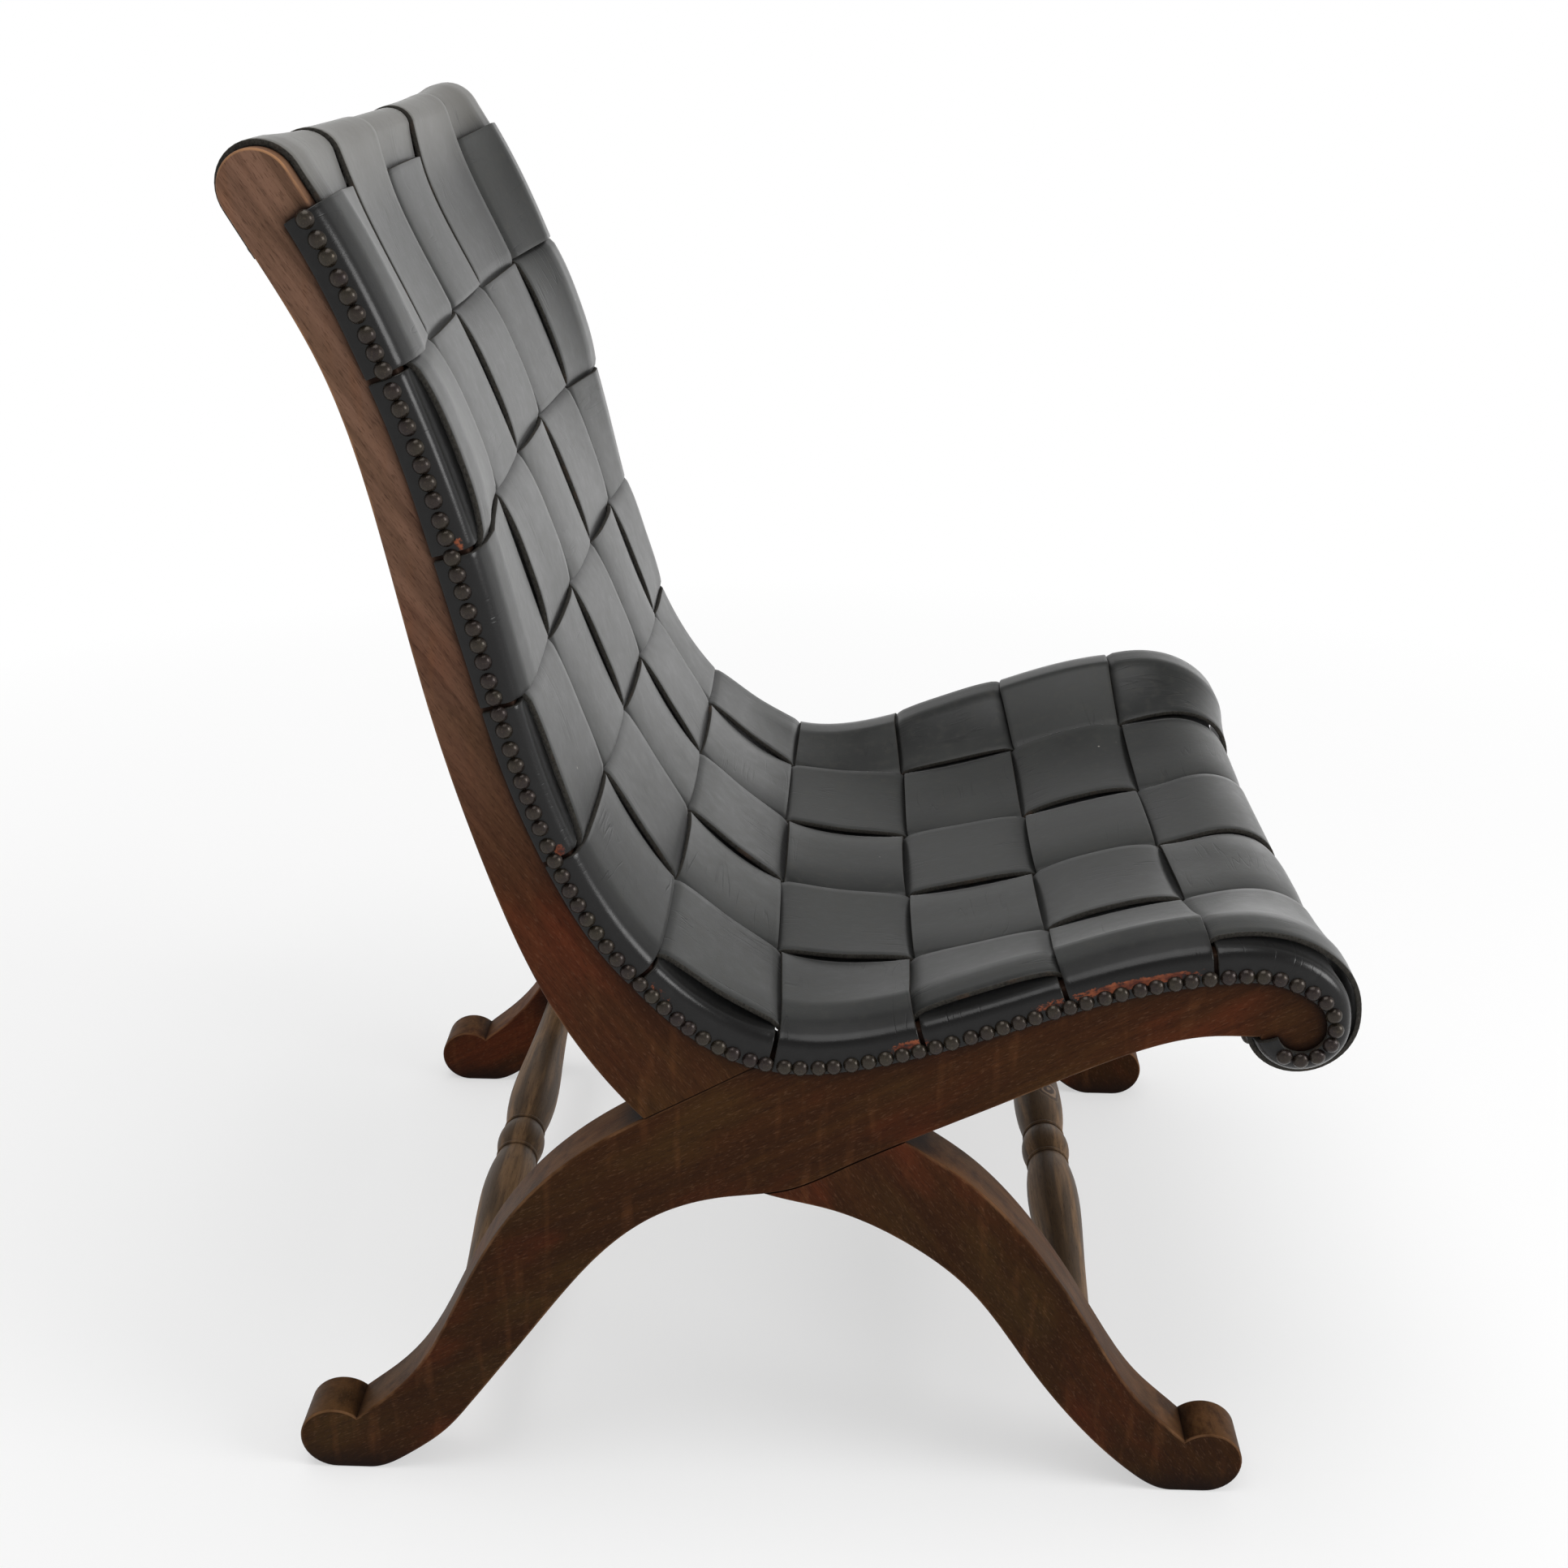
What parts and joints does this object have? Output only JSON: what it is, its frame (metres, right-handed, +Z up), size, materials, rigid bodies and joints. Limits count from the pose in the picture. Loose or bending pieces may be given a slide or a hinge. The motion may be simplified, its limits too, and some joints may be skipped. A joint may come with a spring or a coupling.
{
  "type": "x-frame chair",
  "caption": "Low wooden chair on two X shaped side frames, with a woven leather strap seat and back nailed along the frames.",
  "frame": {"origin": "on the floor, under the middle of the whole chair's box", "axes": "+Z up, +Y towards the rear, -X the sitter's right"},
  "size_m": [0.483, 0.5876, 0.7551],
  "materials": {
    "frame_wood": "waxed, worn",
    "rail_wood": "unfinished",
    "stretcher_wood": "turned, waxed",
    "strap_leather": "satin, worn",
    "nail_metal": "aged, dark"
  },
  "bodies": {
    "root": {"right_back_post": "frame_wood", "right_seat_rail": "frame_wood", "left_back_post": "frame_wood", "left_seat_rail": "frame_wood", "top_rail": "rail_wood", "front_rail": "rail_wood", "front_stretcher": "stretcher_wood", "rear_stretcher": "stretcher_wood", "long_strap_1": "strap_leather", "long_strap_2": "strap_leather", "long_strap_3": "strap_leather", "long_strap_4": "strap_leather", "long_strap_5": "strap_leather", "cross_strap_01": "strap_leather", "cross_strap_02": "strap_leather", "cross_strap_03": "strap_leather", "cross_strap_04": "strap_leather", "cross_strap_05": "strap_leather", "cross_strap_06": "strap_leather", "cross_strap_07": "strap_leather", "cross_strap_08": "strap_leather", "cross_strap_09": "strap_leather", "cross_strap_10": "strap_leather", "right_side_nails": "nail_metal", "left_side_nails": "nail_metal", "top_rail_nails": "nail_metal", "front_rail_nails": "nail_metal"}
  },
  "joints": []
}
